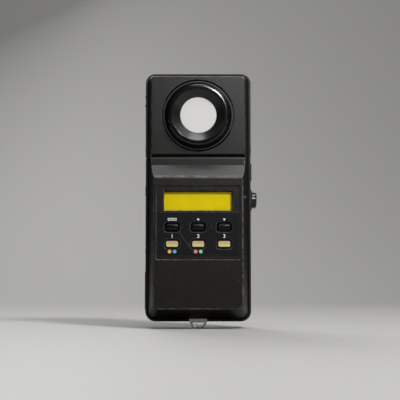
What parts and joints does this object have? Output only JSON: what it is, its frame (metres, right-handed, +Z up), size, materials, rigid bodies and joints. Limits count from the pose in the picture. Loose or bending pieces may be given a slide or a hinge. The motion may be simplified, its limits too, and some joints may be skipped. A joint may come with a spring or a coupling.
{
  "type": "photographic color meter",
  "caption": "Hand-held photographic color meter with a lift-off light receptor head, liquid crystal display, keys, measuring button and power slide.",
  "frame": {"origin": "centre of the foot of the strap lug, on which the upright meter stands, in the plane where the front and rear shells meet", "axes": "+Z up along the case from the lug to the head; -Y out of the front face with the display and the receptor; +X towards the side with the measuring button"},
  "size_m": [0.0774, 0.0318, 0.1762],
  "materials": {
    "case_plastic": "fine grained black ABS, glossy on the sloped walls",
    "gloss_black": "polished black plastic",
    "satin_black": "satin black plastic",
    "cream_plastic": "cream plastic, slightly worn",
    "diffuser_white": "milky white acrylic, matt face",
    "blue_filter": "blue filter glass",
    "green_filter": "green filter glass",
    "red_filter": "red filter glass",
    "clear_window": "clear acrylic",
    "display_yellow": "yellow liquid crystal glass, blank",
    "board": "green board laminate",
    "chip": "moulded chip packages",
    "contact_rubber": "grey silicone rubber",
    "contact_brass": "bright brass",
    "steel": "bright plated steel",
    "battery_sleeve": "printed steel sleeve, bare"
  },
  "bodies": {
    "case": {"front_cover": "case_plastic", "rear_cover": "case_plastic", "key_plate": "gloss_black", "display_window": "clear_window", "lcd_cell": "display_yellow", "lcd_reflector": "display_yellow", "lcd_frame": "satin_black", "lcd_contact_strips": "contact_rubber", "key_mat": "contact_rubber", "main_board": "board", "board_chips": "chip", "board_screws": "steel", "head_socket": "satin_black", "socket_contacts": "contact_brass", "button_switch": "satin_black", "power_switch": "steel", "battery": "battery_sleeve", "battery_contact": "contact_brass", "battery_spring": "steel", "tripod_socket": "contact_brass", "strap_lug": "steel", "case_screws": "steel"},
    "head": {"head_front_cover": "case_plastic", "head_rear_cover": "case_plastic", "receptor_mount_ring": "case_plastic", "receptor_bezel": "gloss_black", "receptor_cone": "satin_black", "diffuser": "diffuser_white", "diffuser_retainer": "satin_black", "light_tube": "diffuser_white", "cell_holder": "satin_black", "filter_blue": "blue_filter", "filter_green": "green_filter", "filter_red": "red_filter", "photocells": "chip", "sensor_board": "board", "sensor_chips": "chip", "head_plug": "satin_black", "plug_pins": "contact_brass", "ring_screws": "steel", "sensor_screws": "steel", "head_screws": "steel"},
    "film_key": {"film_key": "gloss_black"},
    "up_key": {"up_key": "gloss_black"},
    "down_key": {"down_key": "gloss_black"},
    "balance_key": {"balance_key": "cream_plastic"},
    "tint_key": {"tint_key": "cream_plastic"},
    "kelvin_key": {"kelvin_key": "cream_plastic"},
    "measuring_button": {"measuring_button": "gloss_black"},
    "power_slider": {"power_slider": "gloss_black"},
    "battery_cover": {"battery_cover": "case_plastic"}
  },
  "joints": [
    {"name": "head_lift", "type": "slide", "parent": "case", "child": "head", "axis": [0, 0, 1], "range_m": [0, 0.01]},
    {"name": "film_key_press", "type": "slide", "parent": "case", "child": "film_key", "axis": [0, 1, 0], "range_m": [0, 0.0008], "stiffness_N_per_m": 900},
    {"name": "up_key_press", "type": "slide", "parent": "case", "child": "up_key", "axis": [0, 1, 0], "range_m": [0, 0.0008], "stiffness_N_per_m": 900},
    {"name": "down_key_press", "type": "slide", "parent": "case", "child": "down_key", "axis": [0, 1, 0], "range_m": [0, 0.0008], "stiffness_N_per_m": 900},
    {"name": "balance_key_press", "type": "slide", "parent": "case", "child": "balance_key", "axis": [0, 1, 0], "range_m": [0, 0.0008], "stiffness_N_per_m": 900},
    {"name": "tint_key_press", "type": "slide", "parent": "case", "child": "tint_key", "axis": [0, 1, 0], "range_m": [0, 0.0008], "stiffness_N_per_m": 900},
    {"name": "kelvin_key_press", "type": "slide", "parent": "case", "child": "kelvin_key", "axis": [0, 1, 0], "range_m": [0, 0.0008], "stiffness_N_per_m": 900},
    {"name": "measuring_button_press", "type": "slide", "parent": "case", "child": "measuring_button", "axis": [-1, 0, 0], "range_m": [0, 0.0015], "stiffness_N_per_m": 900},
    {"name": "power_slide", "type": "slide", "parent": "case", "child": "power_slider", "axis": [0, 0, -1], "range_m": [0, 0.003]},
    {"name": "battery_cover_slide", "type": "slide", "parent": "case", "child": "battery_cover", "axis": [-1, 0, 0], "range_m": [0, 0.006]}
  ]
}
